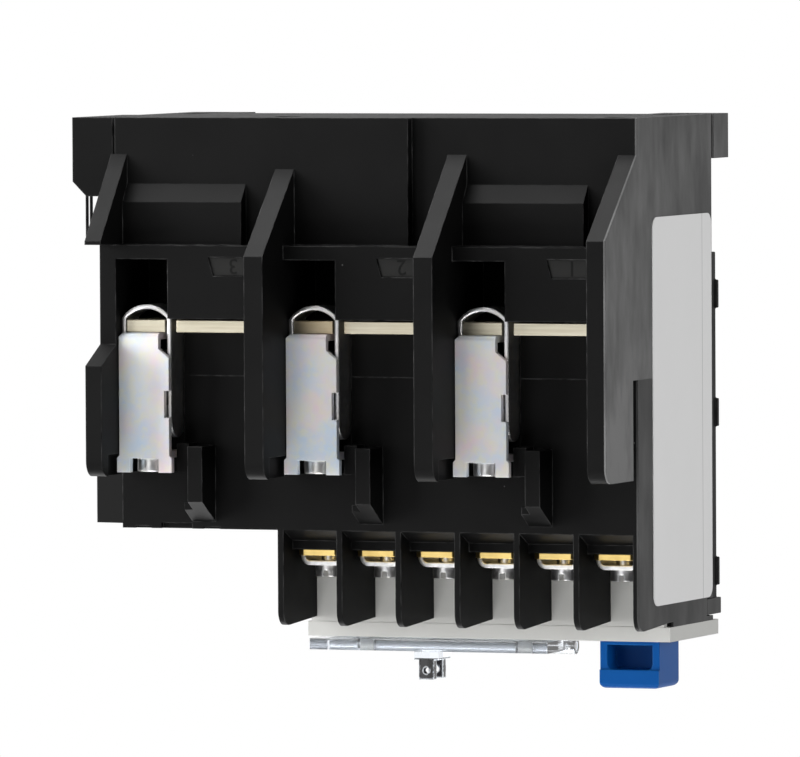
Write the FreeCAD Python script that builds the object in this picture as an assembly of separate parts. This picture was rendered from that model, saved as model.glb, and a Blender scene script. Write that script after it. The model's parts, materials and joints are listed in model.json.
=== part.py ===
import FreeCAD, Part
import os

os.makedirs("parts", exist_ok=True)

# Solid-state overload relay. Mounting face down at Z = 0, front (window and reset) up at +Z,
# load side with the three lugs at -Y, line side with the bar tabs at +Y, label side at -X.

# Poles and phase barriers
pole_pitch = 31.75
rib_thick = 3.55
notched_rib_thick = 3.05
outer_rib_front = 16.6
notched_rib_front = 14.6
inner_rib_front = 17.5
rib_slope_start = 6.5
rib_slope_start_low = 9.1
outer_rib_slope_end = 21.0
notched_rib_slope_end = 21.6
inner_rib_slope_end = 24.0
rib_end = 63.2
rib_corner = 2.8
rib_fin_gap = 2.6
rib_notch_end = 40.0
rib_notch_chamfer = 3.6
rib_foot_length = 3.8
rib_foot_depth = 1.2

# Two-part housing
wall = 2.4
load_wall = 4.2
side_step = 3.8
body_depth = 39.2
split_z = 45.7
deck_z = 72.9
front_z = 90.0
step_x = -7.4
step_out = 2.0
ledge_z = 22.4
ledge_out = 7.6
bump_width = 22.6
bump_top = 11.7
bump_slope = 3.2
bump_out = 2.3
parting_groove_inset = 0.5
parting_groove = 0.4
corner_recess = 3.0
corner_drop = 0.8
corner_face = 5.3
corner_lean = 1.0

# Feet and side ear
ear_reach = 3.1
ear_height = 14.0
ear_depth = 22.0
ear_chamfer = 2.6
mount_hole_r = 2.3
foot_width = 12.0
foot_reach = 9.2
foot_height = 7.9
foot_groove = 1.4
foot_groove_depth = 1.5
gusset_thick = 0.4
gusset_depth = 0.5
gusset_gap = 0.25
gusset_pitch = 0.8
gusset_end = 21.5

# Wire pocket over each lug
pocket_width = 9.8
pocket_top = 24.9
pocket_depth = 8.0
pocket_wall = 1.5
strap_room = 0.8

# Number plate beside each pocket
plate_x = 3.5
plate_width = 8.4
plate_top = 24.5
plate_height = 3.3
plate_lean = 0.9
plate_sink = 0.3

# Conductor bars
bar_z = 35.7
bar_thick = 2.2
bar_front = 5.3
bar_end_gap = 1.1
bar_wide_back = 4.6
bar_slot_room = 0.4
bar_slot_width = 2.1
tab_half = 6.0
tab_reach = 15.0
tab_hole_r = 2.7
tab_hole_inset = 5.0
slot_clear = 0.3

# Lugs: arched strap, front plate with yoke, and screw
lug_gap = 0.2
strap_width = 9.4
strap_thick = 0.75
strap_depth = 6.3
strap_front = 5.4
arch_rise = 2.5
strap_end = 56.6
cross_height = 3.0
cross_gap = 0.6
lug_plate_width = 9.5
lug_plate_thick = 1.2
lug_plate_gap = 0.2
lug_plate_neck = 5.6
lug_plate_corner = 0.7
lug_plate_shoulder = 42.4
lug_plate_shoulder_slope = 1.6
lug_plate_end = 62.7
lug_foot_height = 3.0
lug_foot_flare = 0.45
lug_lip = 3.3
yoke_z = 58.9
yoke_thick = 1.3
notch_width = 5.4
edge_slot_z = 48.2
edge_slot_length = 4.8
edge_slot_depth = 0.9
screw_r = 2.3
screw_y = 2.25
screw_tip = 41.0
screw_head_r = 2.9
screw_head_height = 2.4
drive_width = 0.9
drive_depth = 1.1
thread_clear = 0.05

# Small hooks, shelves and edge notches of the lower wall
hook_width = 2.8
hook_shift = 0.2
hook_out = 6.3
hook_top = 58.0
hook_end = 67.8
hook_slope = 3.8
hook_tail = 1.6
hook_tail_lead = 2.5
hook_tail_height = 1.2
shelf_width = 2.4
shelf_out = 3.6
shelf_top = 57.6
edge_notches = [(10.65, 3.1, 0.4), (2.85, 5.9, 1.0), (-2.45, 3.2, 0.4)]
notch_depth = 0.9

# Control terminal block
terminal_count = 6
terminal_pitch = 11.11
barrier_thick = 1.1
barrier_depth = 16.3
barrier_corner = 2.6
barrier_lean = 0.9
seat_rise = 3.6
seat_front = 4.4
seat_lead = 2.0
contact_width = 8.4
contact_thick = 1.1
contact_corner = 1.2
tail_width = 3.0
tail_thick = 0.8
saddle_width = 8.0
saddle_length = 8.6
saddle_rise = 1.8
saddle_flat = 5.0
saddle_thick = 0.8
terminal_screw_r = 1.7
terminal_head_r = 2.75
terminal_head_height = 2.1
terminal_screw_length = 5.6
terminal_screw_y = 10.4

# Front cover with setting well
skirt_thick = 1.6
cover_thick = 2.6
cover_lap = 0.64
cover_overhang = 2.8
well_inset = 25.4
well_lead = 1.6
well_length = 10.0
well_depth = 6.6
well_wall = 1.2
well_floor_thick = 1.4
fit = 0.3

# Clear window
window_lap = 2.1
window_lead = 0.7
window_back_lap = 0.7
window_thick = 2.0
window_gap = 0.5
hinge_gap = 1.7
barrel_r = 1.5
pin_r = 0.8
pin_clear = 0.06
pin_seat = 0.02
hinge_ear_width = 2.6
hinge_ear_inset = 6.2
post_inset = 46.2
post_width = 2.8
post_shoulder = 0.9
prong_thick = 1.4
prong_gap = 3.3
neck_height = 1.5
post_height = 5.0
seal_hole_r = 0.6

# Reset lever
lever_inset = 3.0
lever_width = 11.1
lever_lead = 1.0
lever_depth = 10.2
lever_rise = 8.5
lever_corner = 1.1
lever_pocket_inset = 1.3
lever_pocket_depth = 5.0
lever_pocket_rise = 0.8
lever_lip = 3.3
lever_lip_out = 0.4
lever_flange = 0.5
lever_flange_height = 5.6
lever_stem_r = 2.2
lever_stem_length = 5.2
plunger_gap = 3.4
plunger_r = 1.5
plunger_height = 1.6
spring_r = 3.1
spring_wire = 0.4
spring_turns = 5

# Current sensors
core_half_width = 12.5
core_half_height = 10.0
core_window_width = 8.2
core_window_height = 5.5
core_front = 16.0
core_gap = 2.6
coil_half_width = 7.6
coil_build = 2.0
coil_clear = 0.05
lead_r = 0.45
lead_gap = 0.4
pedestal_width = 3.0

# Boards and electronics
board_z = 54.0
board_thick = 1.6
board_front = 12.5
board_gap = 0.4
board_post_r = 2.2
board_post_lead = 2.6
board_post_inset = 11.9
board_post_back_inset = 23.0
board_screw_r = 1.0
board_screw_length = 6.0
board_head_r = 1.9
board_head_height = 1.5
setting_drop = 7.0
setting_inset = 1.1
setting_gap = 0.4
setting_lead = 2.4
setting_back_gap = 1.2
relay_gap = 1.0
relay_width = 12.6
relay_lead = 2.0
capacitor_r = 5.0
capacitor_inset = 12.8
capacitor_gap = 2.2
capacitor_room = 3.4
chip_gap = 1.0
chip_lead = 2.7
chip_side = 12.0
chip_height = 2.2
ribbon_right = -14.0
ribbon_left = 0.0
ribbon_thick = 0.6
ribbon_inset = 1.4

# Dial, class switches, test button and trip flag
dial_gap = 5.0
dial_r = 4.6
dial_sink = 1.2
dial_foot = 0.2
dial_shaft_r = 1.5
dial_shaft_length = 2.6
dial_slot = 1.2
dial_slot_depth = 1.4
pot_half = 5.0
pot_height = 3.6
switch_count = 3
switch_pitch = 2.54
switch_inset = 12.0
switch_body_width = 10.4
switch_body_depth = 7.0
slider_width = 1.4
slider_length = 1.6
slider_height = 3.0
slider_travel = 1.8
test_r = 2.0
test_sink = 0.3
test_travel = 1.2
test_flange = 0.6
test_flange_height = 1.2
test_switch_half = 3.0
test_switch_height = 2.4
flag_inset = 5.3
flag_lead = 0.6
flag_gap = 0.3
flag_width = 4.4
flag_length = 4.4
flag_thick = 1.2
flag_window = 3.4
flag_travel = 3.4
flag_stem = 2.4
flag_tongue = 1.2
flag_stem_length = 2.0

# Line-side cover, screws and side label
rear_thick = 4.4
rear_inset = 0.8
rear_bottom = 24.6
rear_top_gap = 1.0
latch_width = 6.0
latch_height = 5.0
cover_hook_reach = 3.2
cover_hook_thick = 1.4
cover_hook_gap = 0.15
post_r = 3.0
case_screw_r = 1.4
case_screw_clear = 0.1
case_head_r = 2.4
case_head_height = 2.0
case_head_depth = 3.4
case_screw_end = 60.0
label_front = 7.5
label_back_edge = 0.6
label_bottom = 17.5
label_top_edge = 4.2
label_thick = 0.15
label_corner = 2.0

# Planes worked out from the dimensions above
outer_rib_x = 1.5 * pole_pitch
label_x = -(outer_rib_x + rib_thick / 2)
plain_x = outer_rib_x + rib_thick / 2 + side_step
ear_x = plain_x + ear_reach
poles = [-pole_pitch, 0.0, pole_pitch]
ribs = [-outer_rib_x, -pole_pitch / 2, pole_pitch / 2, outer_rib_x]
rib_reach = pole_pitch / 2 - rib_thick / 2
notched_rib_face = pole_pitch + rib_reach + notched_rib_thick
parting_groove_x = notched_rib_face - parting_groove_inset

# Bars and lugs, placed from the barrier beside them
lug_x = rib_reach - lug_gap - strap_width / 2
bar_end = bar_z + bar_thick
bar_right = rib_reach - bar_end_gap
bar_left = lug_x + strap_width / 2 - strap_thick - 0.15
bar_slot_left = lug_x - strap_width / 2 + strap_thick + bar_slot_room
lead_x = tab_half + lead_gap + lead_r

# Terminal block, front cover, well and window
block_x = label_x + terminal_count * terminal_pitch + barrier_thick
terminals = [block_x - barrier_thick / 2 - (i + 0.5) * terminal_pitch for i in range(terminal_count)]
seat_z = deck_z + seat_rise
skirt_back = barrier_depth + skirt_thick + 0.1
cover_left = block_x + cover_lap
cover_top = front_z + cover_thick
cover_back = body_depth + cover_overhang
well_right = label_x + well_inset
well_left = block_x - wall - well_wall - 0.2
well_front = skirt_back + well_lead
well_back = well_front + well_length
well_middle = (well_front + well_back) / 2
well_floor = cover_top - well_depth
window_right = well_right - window_lap
window_left = cover_left
window_front = barrier_depth + window_lead
window_back = well_back + window_back_lap
window_z = cover_top + window_gap
hinge_y = window_back + hinge_gap
hinge_z = window_z + barrel_r
post_x = label_x + post_inset

# Reset lever
lever_x = label_x + lever_inset + lever_width / 2
lever_front = skirt_back + lever_lead
lever_middle = lever_front + lever_depth / 2
lever_tip = cover_top + lever_rise
lever_pocket_top = cover_top + lever_pocket_rise
lever_bottom = front_z - 0.2 - lever_flange_height

# Case posts, sensors and boards
rear_post_y = body_depth - wall - post_r - 0.2
front_post_y = load_wall + post_r + 1.9
screw_posts = [
    (label_x + wall + post_r + 1.0, rear_post_y),
    (plain_x - wall - post_r - 0.8, rear_post_y),
    (label_x + wall + post_r + 1.4, front_post_y),
    (pole_pitch / 2 + post_r + 0.6, front_post_y),
]
core_depth = rear_post_y - post_r - core_gap - core_front
board_top = board_z + board_thick
board_post_y = body_depth - wall - 3.4
board_posts = [
    ((terminals[3] + terminals[4]) / 2, board_front + board_post_lead),
    ((terminals[1] + terminals[2]) / 2, board_front + board_post_lead),
    (plain_x - board_post_inset, board_front + board_post_lead),
    (plain_x - board_post_back_inset, board_post_y),
]
setting_board_z = well_floor - setting_drop
setting_top = setting_board_z + board_thick
setting_right = lever_x + lever_width / 2 + setting_inset
setting_left = block_x - wall - setting_gap
setting_front = skirt_back + setting_lead
setting_back = body_depth - wall - setting_back_gap
ribbon_y = setting_back - ribbon_inset
relay_right = label_x + wall + relay_gap
relay_left = relay_right + relay_width
relay_front = skirt_back + relay_lead
relay_back = rear_post_y - post_r - relay_gap
relay_top = lever_bottom - lever_stem_length - plunger_gap - plunger_height
capacitor_x = plain_x - wall - capacitor_inset - capacitor_r
capacitor_y = board_post_y - board_post_r - capacitor_gap - capacitor_r
capacitor_height = deck_z - wall - board_top - capacitor_room
chip_x = ribbon_left + chip_gap + chip_side / 2
chip_y = barrier_depth + chip_lead + chip_side / 2

# Settings under and beside the window
dial_x = well_left - dial_gap - dial_r
dial_y = well_middle
dial_top = cover_top - dial_sink
switch_x = well_right + switch_inset
switch_y = well_middle
flag_x = lever_x + lever_width / 2 + flag_inset
flag_y = skirt_back + flag_lead
test_x = flag_x
test_y = flag_y + flag_length + flag_travel + flag_gap + test_flange + fit + test_r

# Line-side cover and label
rear_top = front_z - rear_top_gap
label_back = body_depth - label_back_edge
label_top = front_z - label_top_edge
cover_hook_z = label_top + 0.2


def block(x0, x1, y0, y1, z0, z1):
    return Part.makeBox(x1 - x0, y1 - y0, z1 - z0, FreeCAD.Vector(x0, y0, z0))


def rod(x, y, z, radius, length, axis=(0, 0, 1)):
    return Part.makeCylinder(radius, length, FreeCAD.Vector(x, y, z), FreeCAD.Vector(*axis))


def face_of(points):
    return Part.Face(Part.makePolygon(points + [points[0]]))


def slab_yz(outline, x0, x1):
    face = face_of([FreeCAD.Vector(x0, y, z) for y, z in outline])
    return face.extrude(FreeCAD.Vector(x1 - x0, 0, 0))


def slab_xz(outline, y0, y1):
    face = face_of([FreeCAD.Vector(x, y0, z) for x, z in outline])
    return face.extrude(FreeCAD.Vector(0, y1 - y0, 0))


def slab_xy(outline, z0, z1):
    face = face_of([FreeCAD.Vector(x, y, z0) for x, y in outline])
    return face.extrude(FreeCAD.Vector(0, 0, z1 - z0))


def rounded(shape, radius, picks):
    edges = [edge for edge in shape.Edges if picks(edge.BoundBox)]
    return shape.makeFillet(radius, edges)


def lies_along_x(box):
    return box.YLength < 0.01 and box.ZLength < 0.01


def export(shape, node):
    shape.removeSplitter().exportStep("parts/" + node + ".step")


def barrier_rib(right, left, start, front, slope_end, wall_y):
    outline = [
        (load_wall, start),
        (wall_y, start),
        (-front, slope_end),
        (-front, rib_end),
        (-rib_fin_gap, rib_end),
        (-rib_fin_gap, split_z),
        (load_wall, split_z),
    ]
    return rounded(
        slab_yz(outline, right, left),
        rib_corner,
        lambda b: lies_along_x(b) and b.YMin < -front + 0.01 and b.ZMin > rib_end - 0.01,
    )


# Barrier beside a lug, with a recess for the flared foot of the lug's plate
def lug_rib(right, left, start, front, slope_end, wall_y):
    recess = block(
        right, right + rib_foot_depth, -front + rib_corner, -rib_fin_gap, rib_end - rib_foot_length, rib_end
    )
    return barrier_rib(right, left, start, front, slope_end, wall_y).cut(recess)


# Mounting half of the housing: tray, stepped load wall, wire pockets, barriers, ear and feet
def base_housing():
    body = block(label_x, plain_x, 0, body_depth, 0, split_z)
    body = body.cut(block(label_x + wall, plain_x - wall, load_wall, body_depth - wall, wall, split_z))
    body = body.cut(block(notched_rib_face, plain_x, 0, corner_recess, ear_height, split_z))
    body = body.fuse(block(step_x, notched_rib_face, -step_out, load_wall, 0, ledge_z))
    body = body.fuse(block(label_x, notched_rib_face, -ledge_out, load_wall, ledge_z, bar_z - slot_clear))
    for x in poles:
        wall_y = -step_out if x > 0 else 0.0
        if x != 0:
            bump = [
                (load_wall, bump_top),
                (wall_y, bump_top),
                (wall_y - bump_out, bump_top + bump_slope),
                (wall_y - bump_out, ledge_z),
                (load_wall, ledge_z),
            ]
            body = body.fuse(slab_yz(bump, x + rib_reach - bump_width, x + rib_reach))
        hollow = block(
            x + rib_reach - pocket_width - pocket_wall,
            x + rib_reach + pocket_wall,
            load_wall - 1.0,
            pocket_depth + pocket_wall,
            pocket_top - pocket_wall,
            bar_end + slot_clear + pocket_wall,
        )
        body = body.fuse(hollow)

    half = rib_thick / 2
    outer = barrier_rib(
        ribs[0] - half, ribs[0] + half, rib_slope_start, outer_rib_front, outer_rib_slope_end, 0.0
    )
    inner = lug_rib(
        ribs[1] - half, ribs[1] + half, rib_slope_start, inner_rib_front, inner_rib_slope_end, 0.0
    )
    stepped = lug_rib(
        ribs[2] - half, ribs[2] + half, rib_slope_start_low, inner_rib_front, inner_rib_slope_end, -step_out
    )
    notched = lug_rib(
        ribs[3] - half, notched_rib_face, rib_slope_start, notched_rib_front, notched_rib_slope_end, -step_out
    )
    notch = [
        (-notched_rib_front - 1, notched_rib_slope_end + 0.6),
        (-ledge_out, ledge_z),
        (-ledge_out, rib_notch_end),
        (-notched_rib_front, rib_notch_end + rib_notch_chamfer),
        (-notched_rib_front - 1, rib_notch_end + rib_notch_chamfer),
    ]
    notched = notched.cut(slab_yz(notch, ribs[3] - rib_thick, ribs[3] + rib_thick))
    for rib in (outer, inner, stepped, notched):
        body = body.fuse(rib)

    for x in poles:
        left = x + rib_reach
        body = body.cut(
            block(left - pocket_width, left, -ledge_out - 1, pocket_depth, pocket_top, bar_z)
        )
        strap_back = strap_depth - strap_front + strap_room
        body = body.cut(block(left - pocket_width, left, -0.5, strap_back, bar_z - 1, split_z))
        body = body.cut(
            block(
                x - bar_right - slot_clear,
                left,
                -ledge_out - 1,
                bar_wide_back + slot_clear,
                bar_z - slot_clear,
                bar_end + slot_clear,
            )
        )
        body = body.cut(
            block(
                x - tab_half - slot_clear,
                x + tab_half + slot_clear,
                0,
                body_depth + 1,
                bar_z - slot_clear,
                bar_end + slot_clear,
            )
        )
        sign_left = x - plate_x
        sign = [
            (sign_left, plate_top),
            (sign_left - plate_lean, plate_top + plate_height),
            (sign_left - plate_width, plate_top + plate_height),
            (sign_left - plate_width, plate_top),
        ]
        body = body.cut(slab_xz(sign, -ledge_out, -ledge_out + plate_sink))
        core_foot = bar_z + bar_thick / 2 - core_half_height
        for side in (-1, 1):
            inner_edge = x + side * (core_half_width - pedestal_width)
            outer_edge = x + side * core_half_width
            pedestal = block(
                min(inner_edge, outer_edge),
                max(inner_edge, outer_edge),
                core_front,
                core_front + core_depth,
                wall,
                core_foot,
            )
            body = body.fuse(pedestal)

    ear = block(notched_rib_face, ear_x, -step_out, load_wall, 0, ear_height)
    ear = ear.fuse(block(plain_x - wall, ear_x, 0, ear_depth, 0, ear_height))
    chamfer = slab_xz(
        [
            (ear_x, ear_height - ear_chamfer),
            (ear_x + 1, ear_height - ear_chamfer),
            (ear_x + 1, ear_height + 1),
            (ear_x - ear_chamfer, ear_height + 1),
            (ear_x - ear_chamfer, ear_height),
        ],
        -step_out - 1,
        ear_depth + 1,
    )
    body = body.fuse(ear.cut(chamfer))
    gusset_x = plain_x + gusset_gap
    for x in (gusset_x, gusset_x + gusset_pitch):
        body = body.fuse(block(x, x + gusset_thick, 0, gusset_depth, ear_height - ear_chamfer, gusset_end))
    gusset_side = gusset_x + gusset_pitch + gusset_thick
    gusset_foot = block(
        plain_x - wall, gusset_side, 0, corner_recess + wall, gusset_end - gusset_thick, gusset_end
    )
    body = body.fuse(gusset_foot)
    groove = block(
        parting_groove_x - parting_groove / 2,
        parting_groove_x + parting_groove / 2,
        -step_out - 1,
        -step_out + parting_groove,
        -1,
        rib_slope_start,
    )
    body = body.cut(groove)

    foot_hole_y = body_depth + (foot_groove + foot_reach) / 2
    for x0, groove_x in ((label_x, label_x), (plain_x - foot_width, plain_x - foot_groove_depth)):
        foot = block(x0, x0 + foot_width, body_depth - wall, body_depth + foot_reach, 0, foot_height)
        body = body.fuse(foot)
        gap = block(
            groove_x, groove_x + foot_groove_depth, body_depth, body_depth + foot_groove, -1, foot_height + 1
        )
        body = body.cut(gap)
        body = body.cut(rod(x0 + foot_width / 2, foot_hole_y, -1, mount_hole_r, foot_height + 2))

    for x, y in screw_posts:
        body = body.fuse(rod(x, y, wall / 2, post_r, split_z - wall / 2))
    for x, y in screw_posts:
        body = body.cut(rod(x, y, -1, case_screw_r + case_screw_clear, split_z + 2))
        body = body.cut(rod(x, y, -1, case_head_r + case_screw_clear, case_head_depth + 1))
    return body


# Front half of the housing: lower load wall with hooks, deck and control terminal block
def front_housing():
    body = block(label_x, plain_x, 0, body_depth, split_z, deck_z)
    corner_x = plain_x - corner_face
    corner = [(corner_x, -1), (corner_x, 0.2), (plain_x + 0.1, corner_lean), (plain_x + 0.1, -1)]
    body = body.cut(slab_xy(corner, split_z - 1, deck_z + 1))
    body = body.cut(block(corner_x, plain_x + 1, -1, body_depth + 1, deck_z - corner_drop, deck_z + 1))
    body = body.cut(
        block(label_x + wall, plain_x - wall, load_wall, body_depth - wall, split_z, deck_z - wall)
    )

    tower = block(label_x, block_x, skirt_back, body_depth, deck_z - wall, front_z)
    tower = tower.cut(
        block(
            label_x + wall,
            block_x - wall,
            skirt_back - 1,
            body_depth - wall,
            deck_z - wall - 1,
            front_z + 1,
        )
    )
    body = body.cut(block(label_x + wall, block_x - wall, skirt_back, body_depth - wall, split_z, deck_z + 1))
    body = body.fuse(tower)

    seat = [
        (0, deck_z - wall),
        (0, deck_z),
        (seat_front, deck_z + seat_lead),
        (seat_front, seat_z),
        (skirt_back, seat_z),
        (skirt_back, deck_z - wall),
    ]
    body = body.fuse(slab_yz(seat, label_x, block_x))
    fin_end = front_z - barrier_lean
    fin = [(0, deck_z - wall), (0, front_z), (barrier_depth, fin_end), (barrier_depth, deck_z - wall)]
    for i in range(terminal_count + 1):
        x = block_x - i * terminal_pitch
        barrier = slab_yz(fin, x - barrier_thick, x)
        barrier = rounded(
            barrier,
            barrier_corner,
            lambda b: lies_along_x(b) and b.YMin < 0.01 and b.ZMin > seat_z,
        )
        body = body.fuse(barrier)
    body = body.fuse(
        block(label_x, label_x + barrier_thick, barrier_depth - 1, skirt_back, seat_z - 1, fin_end)
    )

    for x in poles:
        hook_x = x - hook_shift
        hook = [
            (load_wall - 1, hook_top),
            (-hook_out, hook_top),
            (-hook_out, hook_end),
            (0, hook_end + hook_slope),
            (load_wall - 1, hook_end + hook_slope),
        ]
        body = body.fuse(slab_yz(hook, hook_x - hook_width / 2, hook_x + hook_width / 2))
        tail_front = hook_tail_lead - hook_out
        tail_start = hook_end + hook_slope * hook_tail_lead / hook_out
        tail = [
            (load_wall - 1, tail_start - hook_tail_height),
            (tail_front, tail_start - hook_tail_height),
            (tail_front, tail_start),
            (0, hook_end + hook_slope),
            (load_wall - 1, hook_end + hook_slope),
        ]
        body = body.fuse(slab_yz(tail, hook_x, hook_x + hook_width / 2 + hook_tail))
        left = x + rib_reach
        strap_back = strap_depth - strap_front + strap_room
        body = body.cut(block(left - pocket_width, left, -1, strap_back, split_z, lug_plate_end + 0.2))
        shelf = block(
            left - pocket_width - shelf_width, left - pocket_width, -shelf_out, 1.0, shelf_top, lug_plate_end
        )
        body = body.fuse(shelf)
    for offset, width, height in edge_notches:
        x = pole_pitch + offset
        body = body.cut(block(x, x + width, -1, notch_depth, deck_z - height, deck_z + 1))

    hook_pocket = block(
        label_x - 1,
        label_x + cover_hook_thick + cover_hook_gap,
        body_depth - cover_hook_reach,
        body_depth + 1,
        cover_hook_z,
        rear_top + cover_hook_gap,
    )
    body = body.cut(hook_pocket)

    for x in terminals:
        body = body.cut(
            rod(
                x,
                terminal_screw_y,
                seat_z + contact_thick - terminal_screw_length,
                terminal_screw_r + thread_clear,
                terminal_screw_length + 1,
            )
        )
        body = body.cut(
            block(
                x - tail_width / 2 - 0.1,
                x + tail_width / 2 + 0.1,
                barrier_depth - 0.3 - tail_thick,
                barrier_depth - 0.1,
                deck_z - wall - 1,
                seat_z + 1,
            )
        )

    for x, y in screw_posts:
        top = deck_z - wall / 2 if y < skirt_back or x > block_x else case_screw_end + 2
        body = body.fuse(rod(x, y, split_z, post_r, top - split_z))
        if top < deck_z - wall:
            web = block(label_x + wall / 2, x, y - post_r / 2, body_depth - wall / 2, split_z, top)
            body = body.fuse(web)
        body = body.cut(rod(x, y, split_z - 1, case_screw_r + thread_clear, case_screw_end - split_z + 1.5))
    for x, y in board_posts:
        body = body.fuse(rod(x, y, board_top, board_post_r, deck_z - wall / 2 - board_top))
        body = body.cut(rod(x, y, board_top - 1, board_screw_r + thread_clear, board_screw_length + 1.5))
    return body


# Line-side cover: an angled plate that closes the sensor chamber behind the bar tabs
def rear_cover():
    outline = [
        (label_x + rear_inset, rear_bottom),
        (label_x + rear_inset, rear_top),
        (block_x - rear_inset, rear_top),
        (block_x - rear_inset, deck_z - corner_drop - rear_inset),
        (plain_x - rear_inset, deck_z - corner_drop - rear_inset),
        (plain_x - rear_inset, rear_bottom),
    ]
    cover = slab_xz(outline, body_depth, body_depth + rear_thick)
    for x in poles:
        slot = block(
            x - tab_half - slot_clear,
            x + tab_half + slot_clear,
            body_depth - 1,
            body_depth + rear_thick + 1,
            bar_z - slot_clear,
            bar_end + slot_clear,
        )
        cover = cover.cut(slot)
    for z in (rear_bottom + latch_height, split_z + latch_height, rear_top - 2 * latch_height):
        rib = block(
            label_x + rear_inset / 2,
            label_x + rear_inset + latch_width,
            body_depth + rear_thick - 0.5,
            body_depth + rear_thick + 0.6,
            z,
            z + latch_height,
        )
        cover = cover.fuse(rib)
    hook = block(
        label_x,
        label_x + cover_hook_thick,
        body_depth - cover_hook_reach + cover_hook_gap,
        body_depth + rear_thick,
        cover_hook_z + cover_hook_gap,
        rear_top,
    )
    return cover.fuse(hook)


# Grey front cover with its skirt behind the terminals, setting well and hinge ears
def front_cover():
    cover = block(label_x, cover_left, barrier_depth, cover_back, front_z, cover_top)
    cover = cover.fuse(
        block(
            label_x + barrier_thick + 0.1,
            block_x,
            barrier_depth + 0.05,
            barrier_depth + 0.05 + skirt_thick,
            seat_z + 0.05,
            front_z + 0.5,
        )
    )
    well = block(
        well_right - well_wall,
        well_left + well_wall,
        well_front - well_wall,
        well_back + well_wall,
        well_floor - well_floor_thick,
        front_z + 0.5,
    )
    cover = cover.fuse(well)
    cover = cover.cut(block(well_right, well_left, well_front, well_back, well_floor, cover_top + 1))
    dial_hole_z = well_floor - well_floor_thick - 1
    cover = cover.cut(rod(dial_x, dial_y, dial_hole_z, dial_r + fit, well_floor_thick + 2))
    for x in switch_places():
        cover = cover.cut(
            block(
                x - slider_width / 2 - fit / 2,
                x + slider_width / 2 + fit / 2,
                switch_y - slider_length / 2 - fit / 2,
                switch_y + slider_length / 2 + slider_travel + fit / 2,
                well_floor - well_floor_thick - 1,
                well_floor + 1,
            )
        )
    cover = cover.cut(
        block(
            lever_x - lever_width / 2 - fit,
            lever_x + lever_width / 2 + fit,
            lever_front - fit,
            lever_front + lever_depth + fit,
            front_z - 1,
            cover_top + 1,
        )
    )
    cover = cover.cut(rod(test_x, test_y, front_z - 1, test_r + fit, cover_thick + 2))
    cover = cover.cut(
        block(
            flag_x - flag_window / 2,
            flag_x + flag_window / 2,
            flag_y + 0.3,
            flag_y + 0.3 + flag_window,
            front_z - 1,
            cover_top + 1,
        )
    )
    for x in hinge_ears():
        ear = block(x, x + hinge_ear_width, hinge_y - barrel_r, hinge_y + barrel_r, cover_top - 0.5, hinge_z)
        ear = ear.fuse(rod(x, hinge_y, hinge_z, barrel_r, hinge_ear_width, (1, 0, 0)))
        ear = ear.cut(rod(x - 1, hinge_y, hinge_z, pin_r + pin_seat, hinge_ear_width + 2, (1, 0, 0)))
        cover = cover.fuse(ear)
    for x, y in setting_posts():
        cover = cover.fuse(rod(x, y, setting_top, board_post_r, front_z + 0.5 - setting_top))
    return cover


def switch_places():
    return [switch_x + (i - (switch_count - 1) / 2) * switch_pitch for i in range(switch_count)]


def hinge_ears():
    return [window_right + hinge_ear_inset, window_left - hinge_ear_inset - hinge_ear_width]


def setting_posts():
    return [
        (setting_left - board_post_r - 0.4, setting_back - board_post_r - 0.2),
        (window_right + 1.6, setting_back - board_post_r - 0.2),
    ]


# Clear hinged window with its two-pronged sealing post
def window_cover():
    face = window_z + window_thick
    window = block(window_right, window_left, window_front, window_back, window_z, face)
    web = block(window_right, window_left, window_back - 0.5, hinge_y, window_z + 0.6, face)
    window = window.fuse(web)
    window = window.fuse(rod(window_right, hinge_y, hinge_z, barrel_r, window_left - window_right, (1, 0, 0)))
    window = window.cut(
        rod(window_right - 1, hinge_y, hinge_z, pin_r + pin_clear, window_left - window_right + 2, (1, 0, 0))
    )
    room = barrel_r + 0.5
    for x in hinge_ears():
        window = window.cut(
            block(
                x - fit,
                x + hinge_ear_width + fit,
                hinge_y - room,
                hinge_y + room,
                cover_top,
                hinge_z + room,
            )
        )
    depth = 2 * prong_thick + prong_gap
    neck = block(
        post_x - post_width / 2 - post_shoulder,
        post_x + post_width / 2 + post_shoulder,
        window_front,
        window_front + depth,
        face - 0.5,
        face + neck_height,
    )
    window = window.fuse(neck)
    for y in (window_front, window_front + prong_thick + prong_gap):
        prong = block(
            post_x - post_width / 2, post_x + post_width / 2, y, y + prong_thick, face, face + post_height
        )
        hole = rod(post_x, y - 1, face + post_height - 1.6, seal_hole_r, prong_thick + 2, (0, 1, 0))
        window = window.fuse(prong.cut(hole))
    return window


def window_pin():
    return rod(window_right + 0.2, hinge_y, hinge_z, pin_r, window_left - window_right - 0.4, (1, 0, 0))


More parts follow.
